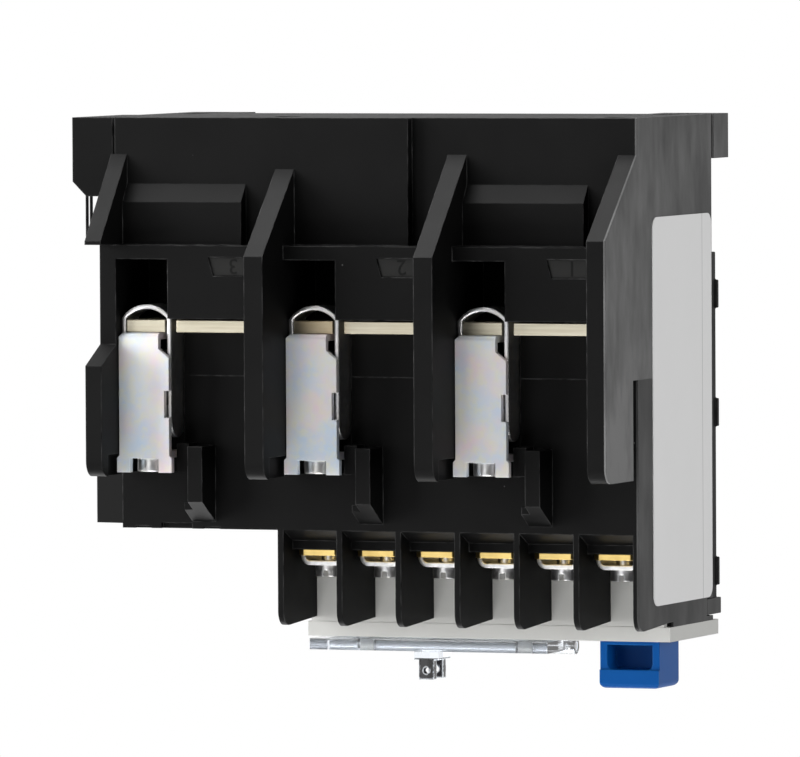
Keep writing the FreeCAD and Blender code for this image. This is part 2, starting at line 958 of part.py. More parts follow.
# Blue reset lever: hollow-faced cap, guide flange and stem
def reset_lever():
    x0 = lever_x - lever_width / 2
    x1 = lever_x + lever_width / 2
    y1 = lever_front + lever_depth
    pocket_end = lever_tip - lever_lip
    cap = block(x0, x1, lever_front, y1, lever_bottom, lever_tip)
    cap = cap.fuse(block(x0, x1, lever_front - lever_lip_out, y1, pocket_end, lever_tip)).removeSplitter()
    cap = rounded(cap, lever_corner, lambda b: b.ZLength < 0.01 and b.ZMin > lever_tip - 0.01)
    pocket = block(
        x0 + lever_pocket_inset,
        x1 - lever_pocket_inset,
        lever_front - 1,
        lever_front + lever_pocket_depth,
        lever_pocket_top,
        pocket_end,
    )
    pocket = rounded(
        pocket,
        lever_corner,
        lambda b: b.XLength < 0.01 and b.ZLength < 0.01 and b.ZMin > pocket_end - 0.01,
    )
    cap = cap.cut(pocket)
    flange = block(
        x0,
        x1,
        lever_front - lever_flange,
        y1 + lever_flange,
        lever_bottom,
        lever_bottom + lever_flange_height,
    )
    lever = cap.fuse(flange)
    stem = rod(lever_x, lever_middle, lever_bottom - lever_stem_length, lever_stem_r, lever_stem_length)
    return lever.fuse(stem)


def reset_spring():
    foot = relay_top + spring_wire + 0.05
    height = lever_bottom - spring_wire - 0.05 - foot
    helix = Part.makeHelix(height / spring_turns, height, spring_r)
    section = Part.Wire(
        Part.makeCircle(spring_wire, FreeCAD.Vector(spring_r, 0, 0), FreeCAD.Vector(0, 1, 0))
    )
    coil = Part.Wire(helix).makePipeShell([section], True, True)
    coil.translate(FreeCAD.Vector(lever_x, lever_middle, foot))
    return coil


# Tinned conductor bar of one pole, with the strap slot at the lug and a bolted tab at the line side
def busbar(x):
    outline = [
        (x - bar_right, -bar_front),
        (x + bar_left, -bar_front),
        (x + bar_left, bar_wide_back),
        (x + tab_half, bar_wide_back),
        (x + tab_half, body_depth + tab_reach),
        (x - tab_half, body_depth + tab_reach),
        (x - tab_half, bar_wide_back),
        (x - bar_right, bar_wide_back),
    ]
    bar = slab_xy(outline, bar_z, bar_end)
    slot_x = x + bar_slot_left
    slot_back = strap_depth - strap_front + 0.3
    bar = bar.cut(block(slot_x - bar_slot_width, slot_x, -bar_front - 1, slot_back, bar_z - 1, bar_end + 1))
    hole = rod(x, body_depth + tab_reach - tab_hole_inset, bar_z - 1, tab_hole_r, bar_thick + 2)
    return bar.cut(hole)


# Arched steel strap with two round-ended legs and a threaded cross piece
def lug_strap(x):
    centre = x + lug_x
    half = strap_width / 2
    inner = half - strap_thick
    shoulder = bar_z - 0.2
    outer_wire = arch_outline(centre, half, shoulder, shoulder - arch_rise)
    inner_wire = arch_outline(centre, inner, shoulder, shoulder - arch_rise + strap_thick)
    depth = FreeCAD.Vector(0, strap_depth, 0)
    strap = Part.Face(outer_wire).extrude(depth).cut(Part.Face(inner_wire).extrude(depth))
    tip = strap_depth / 2
    strap = rounded(
        strap,
        tip - 0.05,
        lambda b: lies_along_x(b) and b.ZMin > strap_end - 0.01,
    )
    cross = block(
        centre - half + strap_thick / 2,
        centre + half - strap_thick / 2,
        -strap_front + 0.5,
        strap_depth - strap_front - 0.2,
        strap_end - tip - cross_height + cross_gap,
        strap_end - tip + cross_gap,
    )
    strap = strap.fuse(cross)
    return strap.cut(rod(centre, -screw_y, bar_end, screw_r + thread_clear, strap_end - bar_end))


def arch_outline(centre, half, shoulder, crown):
    y = -strap_front
    left = FreeCAD.Vector(centre + half, y, shoulder)
    right = FreeCAD.Vector(centre - half, y, shoulder)
    arch = Part.Arc(left, FreeCAD.Vector(centre, y, crown), right).toShape()
    low_right = FreeCAD.Vector(centre - half, y, strap_end)
    low_left = FreeCAD.Vector(centre + half, y, strap_end)
    sides = [
        Part.makeLine(right, low_right),
        Part.makeLine(low_right, low_left),
        Part.makeLine(low_left, left),
    ]
    return Part.Wire([arch] + sides)


# Plated front plate of the lug: lip under the bar, one shoulder, flared and notched foot, and screw yoke
def lug_plate(x):
    centre = x + lug_x
    half = lug_plate_width / 2
    neck = lug_plate_neck / 2
    top = bar_end + 0.05
    back = -strap_front - lug_plate_gap
    front = back - lug_plate_thick
    slope_start = lug_plate_shoulder - lug_plate_shoulder_slope
    foot_start = lug_plate_end - lug_foot_height
    foot_half = half + lug_foot_flare
    outline = [
        (centre - neck, top),
        (centre + half - lug_plate_corner, top),
        (centre + half, top + lug_plate_corner),
        (centre + half, foot_start),
        (centre + foot_half, foot_start + lug_foot_flare),
        (centre + foot_half, lug_plate_end),
        (centre + notch_width / 2, lug_plate_end),
        (centre + notch_width / 2, yoke_z + yoke_thick),
        (centre - notch_width / 2, yoke_z + yoke_thick),
        (centre - notch_width / 2, lug_plate_end),
        (centre - foot_half, lug_plate_end),
        (centre - foot_half, foot_start + lug_foot_flare),
        (centre - half, foot_start),
        (centre - half, edge_slot_z + edge_slot_length),
        (centre - half + edge_slot_depth, edge_slot_z + edge_slot_length),
        (centre - half + edge_slot_depth, edge_slot_z),
        (centre - half, edge_slot_z),
        (centre - half, lug_plate_shoulder),
        (centre - neck, slope_start),
    ]
    plate = slab_xz(outline, front, back)
    lip = block(centre - neck, centre + neck, front, back + lug_lip, top, top + lug_plate_thick)
    plate = plate.fuse(lip).removeSplitter()
    plate = rounded(
        plate,
        lug_plate_thick * 0.8,
        lambda b: lies_along_x(b) and b.YMin < front + 0.01 and b.ZMin < top + 0.01,
    )
    yoke_half = half - strap_thick - 0.2
    yoke = block(
        centre - yoke_half,
        centre + yoke_half,
        front + 0.1,
        strap_depth - strap_front,
        yoke_z,
        yoke_z + yoke_thick,
    )
    plate = plate.fuse(yoke)
    return plate.cut(rod(centre, -screw_y, yoke_z - 1, screw_r + 0.15, yoke_thick + 2))


def lug_screw(x):
    centre = x + lug_x
    head_z = yoke_z + yoke_thick + 0.05
    shank = rod(centre, -screw_y, screw_tip, screw_r, head_z - screw_tip + 0.1)
    head = rod(centre, -screw_y, head_z, screw_head_r, screw_head_height)
    slot = block(
        centre - screw_head_r - 1,
        centre + screw_head_r + 1,
        -screw_y - drive_width / 2,
        -screw_y + drive_width / 2,
        head_z + screw_head_height - drive_depth,
        head_z + screw_head_height + 1,
    )
    return shank.fuse(head).cut(slot)


# Brass contact plate of one control terminal, with its tail down to the main board
def terminal_plate(x):
    half = contact_width / 2
    back = barrier_depth - 0.2
    outline = [
        (x - half, back),
        (x - half, seat_front + contact_corner),
        (x - half + contact_corner, seat_front),
        (x + half - contact_corner, seat_front),
        (x + half, seat_front + contact_corner),
        (x + half, back),
    ]
    plate = slab_xy(outline, seat_z, seat_z + contact_thick)
    hole_r = terminal_screw_r + thread_clear
    plate = plate.cut(rod(x, terminal_screw_y, seat_z - 1, hole_r, contact_thick + 2))
    tail = block(x - tail_width / 2, x + tail_width / 2, back - tail_thick, back, board_top, seat_z + 0.2)
    return plate.fuse(tail)


# Section of a bowed strip: a flat crown for the screw head, and an arc down to the contact at each end
def bowed_section(x, half, flat, rise):
    y = terminal_screw_y - saddle_length / 2
    foot = seat_z + contact_thick
    bend = 0.5 ** 0.5

    def corner(side, out, height):
        return FreeCAD.Vector(x + side * out, y, foot + height)

    arcs = []
    for side in (-1, 1):
        middle = corner(side, flat + (half - flat) * bend, rise * bend)
        arcs.append(Part.Arc(corner(side, half, 0), middle, corner(side, flat, rise)).toShape())
    crown = Part.makeLine(corner(-1, flat, rise), corner(1, flat, rise))
    chord = Part.makeLine(corner(1, half, 0), corner(-1, half, 0))
    section = Part.Face(Part.Wire([arcs[0], crown, arcs[1], chord]))
    return section.extrude(FreeCAD.Vector(0, saddle_length, 0))


def saddle_washer(x):
    half = saddle_width / 2
    flat = saddle_flat / 2
    washer = bowed_section(x, half, flat, saddle_rise)
    washer = washer.cut(bowed_section(x, half - saddle_thick, flat, saddle_rise - saddle_thick))
    foot = seat_z + contact_thick
    return washer.cut(rod(x, terminal_screw_y, foot - 1, terminal_screw_r + 0.15, saddle_rise + 2))


def terminal_screw(x):
    head_z = seat_z + contact_thick + saddle_rise
    foot = seat_z + contact_thick - terminal_screw_length + 0.2
    shank = rod(x, terminal_screw_y, foot, terminal_screw_r, head_z - foot + 0.1)
    head = rod(x, terminal_screw_y, head_z, terminal_head_r, terminal_head_height)
    slot = block(
        x - drive_width / 2,
        x + drive_width / 2,
        terminal_screw_y - terminal_head_r - 1,
        terminal_screw_y + terminal_head_r + 1,
        head_z + terminal_head_height - drive_depth,
        head_z + terminal_head_height + 1,
    )
    return shank.fuse(head).cut(slot)


# Current sensor of one pole: laminated window core and the coil on its lower limb
def sensor_core(x):
    z = bar_z + bar_thick / 2
    back = core_front + core_depth
    core = block(
        x - core_half_width,
        x + core_half_width,
        core_front,
        back,
        z - core_half_height,
        z + core_half_height,
    )
    window = block(
        x - core_window_width,
        x + core_window_width,
        core_front - 1,
        back + 1,
        z - core_window_height,
        z + core_window_height,
    )
    return core.cut(window)


def sensor_coil(x):
    z = bar_z + bar_thick / 2
    back = core_front + core_depth
    limb_low = z - core_half_height
    limb_high = z - core_window_height
    coil = block(
        x - coil_half_width,
        x + coil_half_width,
        core_front - coil_build,
        back + coil_build,
        limb_low - coil_build,
        limb_high + coil_build,
    )
    limb = block(
        x - coil_half_width - 1,
        x + coil_half_width + 1,
        core_front - coil_clear,
        back + coil_clear,
        limb_low - coil_clear,
        limb_high + coil_clear,
    )
    coil = coil.cut(limb)
    for side in (-1, 1):
        lead = rod(x + side * lead_x, back + coil_build / 2, limb_high, lead_r, board_z - limb_high)
        coil = coil.fuse(lead)
    return coil


def circuit_board():
    board = block(
        label_x + wall + board_gap,
        plain_x - wall - board_gap,
        board_front,
        body_depth - wall - board_gap,
        board_z,
        board_top,
    )
    for x, y in screw_posts[:2]:
        reach = post_r + 1.8
        board = board.cut(
            block(x - reach, x + reach, y - post_r - board_gap, body_depth, board_z - 1, board_top + 1)
        )
    for x, y in board_posts:
        board = board.cut(rod(x, y, board_z - 1, board_screw_r + 0.1, board_thick + 2))
    return board


def board_screw(x, y):
    shank = rod(x, y, board_z, board_screw_r, board_thick + board_screw_length)
    return shank.fuse(rod(x, y, board_z - board_head_height, board_head_r, board_head_height))


def setting_board():
    board = block(setting_right, setting_left, setting_front, setting_back, setting_board_z, setting_top)
    slot = block(
        flag_x - flag_tongue / 2 - 0.15,
        flag_x + flag_tongue / 2 + 0.15,
        flag_stem_y() - 0.15,
        flag_stem_y() + flag_stem_length + flag_travel + 0.15,
        setting_board_z - 1,
        setting_top + 1,
    )
    return board.cut(slot)


def trip_relay():
    case = block(relay_right, relay_left, relay_front, relay_back, board_top, relay_top)
    return case.fuse(rod(lever_x, lever_middle, relay_top - 0.5, plunger_r, plunger_height + 0.5))


def storage_capacitor():
    can = rod(capacitor_x, capacitor_y, board_top, capacitor_r, capacitor_height)
    return rounded(can, 0.6, lambda b: b.ZLength < 0.01 and b.ZMin > board_top + 1)


def controller_chip():
    half = chip_side / 2
    top = board_top + chip_height
    return block(chip_x - half, chip_x + half, chip_y - half, chip_y + half, board_top, top)


def ribbon_link():
    return block(ribbon_right, ribbon_left, ribbon_y, ribbon_y + ribbon_thick, board_top, setting_board_z)


# Current dial on its potentiometer
def dial():
    knob_z = setting_top + pot_height + dial_foot
    knob = rod(dial_x, dial_y, knob_z, dial_r, dial_top - knob_z)
    knob = rounded(knob, 0.5, lambda b: b.ZLength < 0.01 and b.ZMin > dial_top - 0.01)
    slot = block(
        dial_x - dial_slot / 2,
        dial_x + dial_slot / 2,
        dial_y - dial_r * 0.7,
        dial_y + dial_r * 0.7,
        dial_top - dial_slot_depth,
        dial_top + 1,
    )
    shaft = rod(dial_x, dial_y, knob_z - dial_shaft_length, dial_shaft_r, dial_shaft_length + 0.5)
    return knob.cut(slot).fuse(shaft)


def dial_pot():
    front = dial_y - pot_half + 0.9
    top = setting_top + pot_height
    body = block(dial_x - pot_half, dial_x + pot_half, front, dial_y + pot_half, setting_top, top)
    hole_z = top + dial_foot - dial_shaft_length - 0.2
    return body.cut(rod(dial_x, dial_y, hole_z, dial_shaft_r + thread_clear, pot_height + 1))


# Trip class switch bank and its sliders
def class_switch():
    half = switch_body_width / 2
    body = block(
        switch_x - half,
        switch_x + half,
        switch_y - switch_body_depth / 2 + 0.6,
        switch_y + switch_body_depth / 2 + 0.6,
        setting_top,
        well_floor - well_floor_thick - 0.1,
    )
    for x in switch_places():
        body = body.cut(
            block(
                x - slider_width / 2 - 0.1,
                x + slider_width / 2 + 0.1,
                switch_y - slider_length / 2 - 0.1,
                switch_y + slider_length / 2 + slider_travel + 0.1,
                slider_foot() - 0.1,
                well_floor + 1,
            )
        )
    return body


def slider_foot():
    return well_floor + 1.0 - slider_height - well_floor_thick


def class_slider(x):
    return block(
        x - slider_width / 2,
        x + slider_width / 2,
        switch_y - slider_length / 2,
        switch_y + slider_length / 2,
        slider_foot(),
        well_floor + 1.0,
    )


# Test button on its push switch
def test_button():
    top = cover_top - test_sink
    flange_top = front_z - 0.1
    foot = setting_top + test_switch_height + test_travel + 0.3
    button = rod(test_x, test_y, foot, test_r, top - foot)
    flange_r = test_r + fit + test_flange
    flange = rod(test_x, test_y, flange_top - test_flange_height, flange_r, test_flange_height)
    return button.fuse(flange)


def test_switch():
    half = test_switch_half
    top = setting_top + test_switch_height
    return block(test_x - half, test_x + half, test_y - half, test_y + half, setting_top, top)


# Trip flag that slides under its sight hole
def flag_stem_y():
    return flag_y + flag_length - flag_stem_length


def trip_flag():
    top = front_z - 0.2
    plate = block(
        flag_x - flag_width / 2, flag_x + flag_width / 2, flag_y, flag_y + flag_length, top - flag_thick, top
    )
    front = flag_stem_y()
    back = front + flag_stem_length
    stem = block(
        flag_x - flag_stem / 2,
        flag_x + flag_stem / 2,
        front,
        back,
        setting_top + 0.05,
        top - flag_thick + 0.2,
    )
    tongue_half = flag_tongue / 2
    tongue = block(flag_x - tongue_half, flag_x + tongue_half, front, back, setting_board_z, setting_top + 1)
    return plate.fuse(stem).fuse(tongue)


def case_screw(x, y):
    head = rod(x, y, case_head_depth - case_head_height, case_head_r, case_head_height)
    return head.fuse(rod(x, y, case_head_depth - 0.1, case_screw_r, case_screw_end - case_head_depth))


# Printed label on the flat side, across the housing joint
def side_label():
    label = block(label_x - label_thick, label_x, label_front, label_back, label_bottom, label_top)
    return rounded(label, label_corner, lies_along_x)


export(base_housing(), "base_housing")
export(front_housing(), "front_housing")
export(rear_cover(), "rear_cover")
export(front_cover(), "front_cover")
export(window_cover(), "window_cover")
export(window_pin(), "window_pin")
export(reset_lever(), "reset_lever")
export(reset_spring(), "reset_spring")
for number, pole_x in enumerate(poles, 1):
    export(busbar(pole_x), "busbar_%d" % number)
    export(lug_strap(pole_x), "lug_strap_%d" % number)
    export(lug_plate(pole_x), "lug_plate_%d" % number)
    export(lug_screw(pole_x), "lug_screw_%d" % number)
    export(sensor_core(pole_x), "sensor_core_%d" % number)
    export(sensor_coil(pole_x), "sensor_coil_%d" % number)
for number, terminal_x in enumerate(terminals, 1):
    export(terminal_plate(terminal_x), "terminal_plate_%d" % number)
export(Part.makeCompound([saddle_washer(x) for x in terminals]), "saddle_washers")
export(Part.makeCompound([terminal_screw(x) for x in terminals]), "terminal_screws")
export(circuit_board(), "circuit_board")
export(Part.makeCompound([board_screw(x, y) for x, y in board_posts]), "board_screws")
export(setting_board(), "setting_board")
export(trip_relay(), "trip_relay")
export(storage_capacitor(), "storage_capacitor")
export(controller_chip(), "controller_chip")
export(ribbon_link(), "ribbon_link")
export(dial(), "current_dial")
export(dial_pot(), "dial_pot")
export(class_switch(), "class_switch")
for number, slider_x in enumerate(switch_places(), 1):
    export(class_slider(slider_x), "class_slider_%d" % number)
export(test_button(), "test_button")
export(test_switch(), "test_switch")
export(trip_flag(), "trip_flag")
export(Part.makeCompound([case_screw(x, y) for x, y in screw_posts]), "case_screws")
export(side_label(), "side_label")
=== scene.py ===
# Solid-state overload relay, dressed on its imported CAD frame.
# The sections follow the relay as it is put together: mounting half, sensors and bars, lugs, boards,
# front half, control terminals, front cover with its settings, window, reset lever and label.
import json
import math

import bmesh
import bpy
from mathutils import Matrix, Vector

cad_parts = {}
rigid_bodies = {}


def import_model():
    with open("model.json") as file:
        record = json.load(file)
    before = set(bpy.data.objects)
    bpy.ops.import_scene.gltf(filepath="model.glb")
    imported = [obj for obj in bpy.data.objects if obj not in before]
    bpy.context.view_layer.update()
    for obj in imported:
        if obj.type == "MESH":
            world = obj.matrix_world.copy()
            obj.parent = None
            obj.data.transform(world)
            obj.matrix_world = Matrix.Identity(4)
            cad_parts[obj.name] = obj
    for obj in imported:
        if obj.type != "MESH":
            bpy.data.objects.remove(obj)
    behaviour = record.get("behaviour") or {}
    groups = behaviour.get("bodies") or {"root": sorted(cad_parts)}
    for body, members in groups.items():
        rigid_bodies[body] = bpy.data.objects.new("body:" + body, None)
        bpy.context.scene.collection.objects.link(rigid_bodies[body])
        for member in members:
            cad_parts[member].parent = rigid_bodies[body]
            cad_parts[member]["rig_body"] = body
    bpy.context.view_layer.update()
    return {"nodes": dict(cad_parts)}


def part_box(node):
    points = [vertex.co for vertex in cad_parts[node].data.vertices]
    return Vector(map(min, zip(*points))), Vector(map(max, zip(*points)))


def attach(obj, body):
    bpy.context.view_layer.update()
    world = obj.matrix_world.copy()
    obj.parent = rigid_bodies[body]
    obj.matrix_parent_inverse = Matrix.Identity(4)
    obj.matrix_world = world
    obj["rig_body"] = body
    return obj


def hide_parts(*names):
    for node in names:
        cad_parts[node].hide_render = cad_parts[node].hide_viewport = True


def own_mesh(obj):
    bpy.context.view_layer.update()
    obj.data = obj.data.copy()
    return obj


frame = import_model()
millimetre = 0.001


# Mounting half of the housing: one black thermoset moulding with the load wall, barriers, ear and feet.
# It comes off the tool with small radii, a fine grain, and edges that rub grey in handling.
def finish_with(piece, finish):
    piece.data.materials.clear()
    piece.data.materials.append(finish)


def put(tree, kind, values=None, **options):
    """Adds a shader node, sets its options, and fills or links its inputs by name or number."""
    node = tree.nodes.new(kind)
    for option, value in options.items():
        setattr(node, option, value)
    for socket, value in (values or {}).items():
        if isinstance(value, bpy.types.NodeSocket):
            tree.links.new(value, node.inputs[socket])
        else:
            node.inputs[socket].default_value = value
    return node


def new_group(name, inputs, outputs):
    """A shader group with number sockets. Comes with the sockets that give its inputs inside."""
    group = bpy.data.node_groups.new(name, "ShaderNodeTree")
    for label, value in inputs.items():
        socket = group.interface.new_socket(name=label, in_out="INPUT", socket_type="NodeSocketFloat")
        socket.default_value = value
    for label in outputs:
        group.interface.new_socket(name=label, in_out="OUTPUT", socket_type="NodeSocketFloat")
    return group, put(group, "NodeGroupInput").outputs


def effect(tree, group, **values):
    """Places a shader group in a material with its own values, and gives its outputs."""
    return put(tree, "ShaderNodeGroup", values, node_tree=group).outputs


def new_finish(name, constants):
    """A material whose Principled sockets hold what is the same all over the surface."""
    finish = bpy.data.materials.new(name)
    finish.use_nodes = True
    shader = finish.node_tree.nodes["Principled BSDF"]
    for socket, value in constants.items():
        shader.inputs[socket].default_value = value
    return finish, finish.node_tree, shader


def object_place(tree):
    """Where a point lies in the relay's frame, so that a pattern stays on its piece."""
    return put(tree, "ShaderNodeTexCoord").outputs["Object"]


def axes_of(tree, place):
    return put(tree, "ShaderNodeSeparateXYZ", {"Vector": place}).outputs


def stretched(tree, place, sizes):
    return put(tree, "ShaderNodeVectorMath", {0: place, 1: sizes}, operation="MULTIPLY").outputs["Vector"]


def mottle(tree, place, scale, detail=2.0, roughness=0.5):
    """An uneven mask, finer at a larger scale."""
    values = {"Vector": place, "Scale": scale, "Detail": detail, "Roughness": roughness}
    return put(tree, "ShaderNodeTexNoise", values).outputs["Fac"]


def reckoned(tree, operation, first, second=0.0):
    """One step of arithmetic on masks or numbers."""
    return put(tree, "ShaderNodeMath", {0: first, 1: second}, operation=operation).outputs[0]


def mapped(tree, value, start, end, low=0.0, high=1.0):
    """Carries one range of a value over to another, and holds it there beyond the ends."""
    values = {"Value": value, "From Min": start, "From Max": end, "To Min": low, "To Max": high}
    return put(tree, "ShaderNodeMapRange", values).outputs["Result"]


def span(tree, mask, low, high):
    """Carries a mask of 0 to 1 over to a range."""
    return mapped(tree, mask, 0.0, 1.0, low, high)


def between(tree, mask, first, second):
    """The colour that lies between two colours, each a socket or three numbers."""
    mix = put(tree, "ShaderNodeMix", {0: mask}, data_type="RGBA")
    for place, colour in ((6, first), (7, second)):
        if isinstance(colour, bpy.types.NodeSocket):
            tree.links.new(colour, mix.inputs[place])
        else:
            mix.inputs[place].default_value = (*colour, 1.0)
    return mix.outputs[2]


def tinted(shader, mask, first, second):
    """Lets the colour of a surface run between two colours."""
    tree = shader.id_data
    tree.links.new(between(tree, mask, first, second), shader.inputs["Base Color"])


def roughened(shader, mask, low, high):
    """Lets the roughness of a surface run between two values."""
    tree = shader.id_data
    tree.links.new(span(tree, mask, low, high), shader.inputs["Roughness"])


edge_samples = 6


def raised(shader, height, depth, strength=1.0, edge=None):
    """Gives a surface fine relief and, where an edge radius is given, shades its sharp edges as rounded."""
    tree = shader.id_data
    bump = put(tree, "ShaderNodeBump", {"Height": height, "Distance": depth, "Strength": strength})
    if edge:
        rounded = put(tree, "ShaderNodeBevel", {"Radius": edge}, samples=edge_samples)
        tree.links.new(rounded.outputs["Normal"], bump.inputs["Normal"])
    tree.links.new(bump.outputs["Normal"], shader.inputs["Normal"])


speck_cells = 330.0
speck_rim = 0.05
speck_core = 0.03
cells_without_speck = 0.93
moulded_skin, skin_in = new_group(
    "moulded_skin", {"Grain": 4500.0, "Cloud": 70.0}, ["Height", "Cloudiness", "Specks"]
)
skin_place = object_place(moulded_skin)
skin_cells = put(moulded_skin, "ShaderNodeTexVoronoi", {"Vector": skin_place, "Scale": speck_cells}).outputs
skin_dot = mapped(moulded_skin, skin_cells["Distance"], speck_rim, speck_core)
skin_pick = put(moulded_skin, "ShaderNodeSeparateColor", {"Color": skin_cells["Color"]}).outputs["Red"]
skin_few = reckoned(moulded_skin, "GREATER_THAN", skin_pick, cells_without_speck)
skin_masks = {
    "Height": mottle(moulded_skin, skin_place, skin_in["Grain"], detail=3.0),
    "Cloudiness": mottle(moulded_skin, skin_place, skin_in["Cloud"], detail=5.0, roughness=0.62),
    "Specks": reckoned(moulded_skin, "MULTIPLY", skin_dot, skin_few),
}
put(moulded_skin, "NodeGroupOutput", skin_masks)

edge_begins = 0.985
edge_full = 0.80
wear_begins = 0.38
wear_full = 0.68
worn_edge, edge_in = new_group(
    "worn_edge", {"Width": 0.35 * millimetre, "Breakup": 420.0}, ["Edge", "Rim"]
)
edge_round = put(worn_edge, "ShaderNodeBevel", {"Radius": edge_in["Width"]}, samples=edge_samples)
edge_flat = put(worn_edge, "ShaderNodeNewGeometry")
edge_normals = {0: edge_round.outputs["Normal"], 1: edge_flat.outputs["True Normal"]}
edge_dot = put(worn_edge, "ShaderNodeVectorMath", edge_normals, operation="DOT_PRODUCT").outputs["Value"]
edge_turn = mapped(worn_edge, edge_dot, edge_begins, edge_full)
edge_mottle = mottle(worn_edge, object_place(worn_edge), edge_in["Breakup"], detail=4.0)
edge_gaps = mapped(worn_edge, edge_mottle, wear_begins, wear_full)
edge_worn = reckoned(worn_edge, "MULTIPLY", edge_turn, edge_gaps)
put(worn_edge, "NodeGroupOutput", {"Edge": edge_worn, "Rim": edge_turn})

black_deep = (0.0016, 0.0016, 0.0017)
black_pale = (0.0038, 0.0038, 0.0038)
black_rubbed = (0.070, 0.070, 0.070)
scuff_and_sheen_grey = (0.15, 0.15, 0.15)
black_dust = (0.09, 0.09, 0.09)
scuff_and_sheen_plane = -49.0 * millimetre
sheen_growth_start = 12.0 * millimetre
sheen_growth_end = 60.0 * millimetre
scuff_and_sheen_streaks = (150.0, 260.0, 85.0)
scuff_and_sheen_drift = 38.0
scuff_and_sheen_none = -0.05
scuff_and_sheen_full = 0.46
sheen_at_growth_start = 0.8
sheen_at_growth_end = 1.5


def black_moulding(name, edge, scuff_and_sheen_share):
    """Black thermoset: clouded, dusty, rubbed grey at its edges, with scuffs and a painted sheen streaked on
    the flat label side.
    """
    finish, tree, shader = new_finish(name, {"Specular IOR Level": 0.11})
    skin = effect(tree, moulded_skin)
    wear = effect(tree, worn_edge)
    tone = between(tree, span(tree, skin["Cloudiness"], -0.4, 1.4), black_deep, black_pale)
    place = object_place(tree)
    axes = axes_of(tree, place)
    # Scuffs and painted sheen on the flat label side: lighter grey streaks, with the painted sheen growing
    # stronger away from the mounting face.
    label_side = reckoned(tree, "LESS_THAN", axes["X"], scuff_and_sheen_plane)
    least, most = sheen_at_growth_start * scuff_and_sheen_share, sheen_at_growth_end * scuff_and_sheen_share
    sheen_reach = mapped(tree, axes["Z"], sheen_growth_start, sheen_growth_end, least, most)
    streaks = mottle(tree, stretched(tree, place, scuff_and_sheen_streaks), 1.0, detail=4.0)
    blotches = reckoned(tree, "MULTIPLY", streaks, mottle(tree, place, scuff_and_sheen_drift))
    level = mapped(tree, blotches, scuff_and_sheen_none, scuff_and_sheen_full, 0.0, sheen_reach)
    scuff_and_sheen_tone = between(tree, reckoned(tree, "MULTIPLY", label_side, level), tone, scuff_and_sheen_grey)
    rubbed = between(tree, wear["Edge"], scuff_and_sheen_tone, black_rubbed)
    tinted(shader, skin["Specks"], rubbed, black_dust)
    roughened(shader, skin["Cloudiness"], 0.45, 0.62)
    raised(shader, skin["Height"], 0.012 * millimetre, 0.5, edge)
    return finish


base_black = black_moulding("base_black", 0.25 * millimetre, 1.0)
finish_with(frame["nodes"]["base_housing"], base_black)


# Number plates: three shallow matt panels beside the wire pockets, each with a plain numeral let into it.
# They are part of the same moulding, etched to a paler, rougher face.
plate_width = 8.4 * millimetre
plate_height = 3.3 * millimetre
plate_lean = 0.9 * millimetre
plate_start = 3.5 * millimetre
plate_top = 24.5 * millimetre
plate_face = -7.3 * millimetre
plate_skin = 0.03 * millimetre
plate_margin = 0.12 * millimetre
numeral_height = 2.7 * millimetre
numeral_thickness = 0.04 * millimetre
numeral_along = 0.55
pole_pitch = 31.75 * millimetre
pole_places = [-pole_pitch, 0.0, pole_pitch]
poles = (1, 2, 3)
panel_deep = (0.009, 0.009, 0.009)
panel_pale = (0.017, 0.017, 0.016)
ink_deep = (0.002, 0.002, 0.002)
ink_pale = (0.006, 0.006, 0.006)

matt_panel, tree, shader = new_finish("matt_panel", {"Specular IOR Level": 0.2})
skin = effect(tree, moulded_skin, Grain=5200.0, Cloud=260.0)
tinted(shader, skin["Cloudiness"], panel_deep, panel_pale)
roughened(shader, skin["Cloudiness"], 0.55, 0.75)
raised(shader, skin["Height"], 0.02 * millimetre, 0.6)

numeral_ink, tree, shader = new_finish("numeral_ink", {"Specular IOR Level": 0.15})
skin = effect(tree, moulded_skin, Grain=5200.0, Cloud=500.0)
tinted(shader, skin["Cloudiness"], ink_deep, ink_pale)
roughened(shader, skin["Cloudiness"], 0.5, 0.7)


def mesh_from(form, name):
    mesh = bpy.data.meshes.new(name)
    form.to_mesh(mesh)
    form.free()
    return mesh


def link_piece(piece, body):
    bpy.context.scene.collection.objects.link(piece)
    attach(piece, body)


def new_piece(name, mesh, body, finish):
    piece = bpy.data.objects.new(name, mesh)
    link_piece(piece, body)
    finish_with(piece, finish)


def sheet_from(form, corners, thickness):
    """A flat sheet of a few corners, thickened along its own normal."""
    verts = [form.verts.new(corner) for corner in corners]
    face = form.faces.new(verts)
    face.normal_update()
    rise = face.normal * thickness
    grown = bmesh.ops.extrude_face_region(form, geom=[face])
    moved = [item for item in grown["geom"] if isinstance(item, bmesh.types.BMVert)]
    bmesh.ops.translate(form, verts=moved, vec=rise)
    bmesh.ops.recalc_face_normals(form, faces=form.faces)


figure_share = 0.7


def written(name, text, height, place, turn, body, finish, thickness):
    """Text made into a thin mesh and laid on a face: place is its middle, turn takes it off the XY plane."""
    curve = bpy.data.curves.new(name, "FONT")
    curve.body = text
    curve.size = height / figure_share
    curve.align_x = "CENTER"
    curve.extrude = thickness / 2
    carrier = bpy.data.objects.new(name + "_curve", curve)
    bpy.context.scene.collection.objects.link(carrier)
    bpy.context.view_layer.update()
    mesh = bpy.data.meshes.new_from_object(carrier.evaluated_get(bpy.context.evaluated_depsgraph_get()))
    bpy.data.objects.remove(carrier)
    mesh.transform(Matrix.Translation(place) @ turn @ Matrix.Translation((0, -height / 2, thickness / 2)))
    mesh.name = name
    new_piece(name, mesh, body, finish)


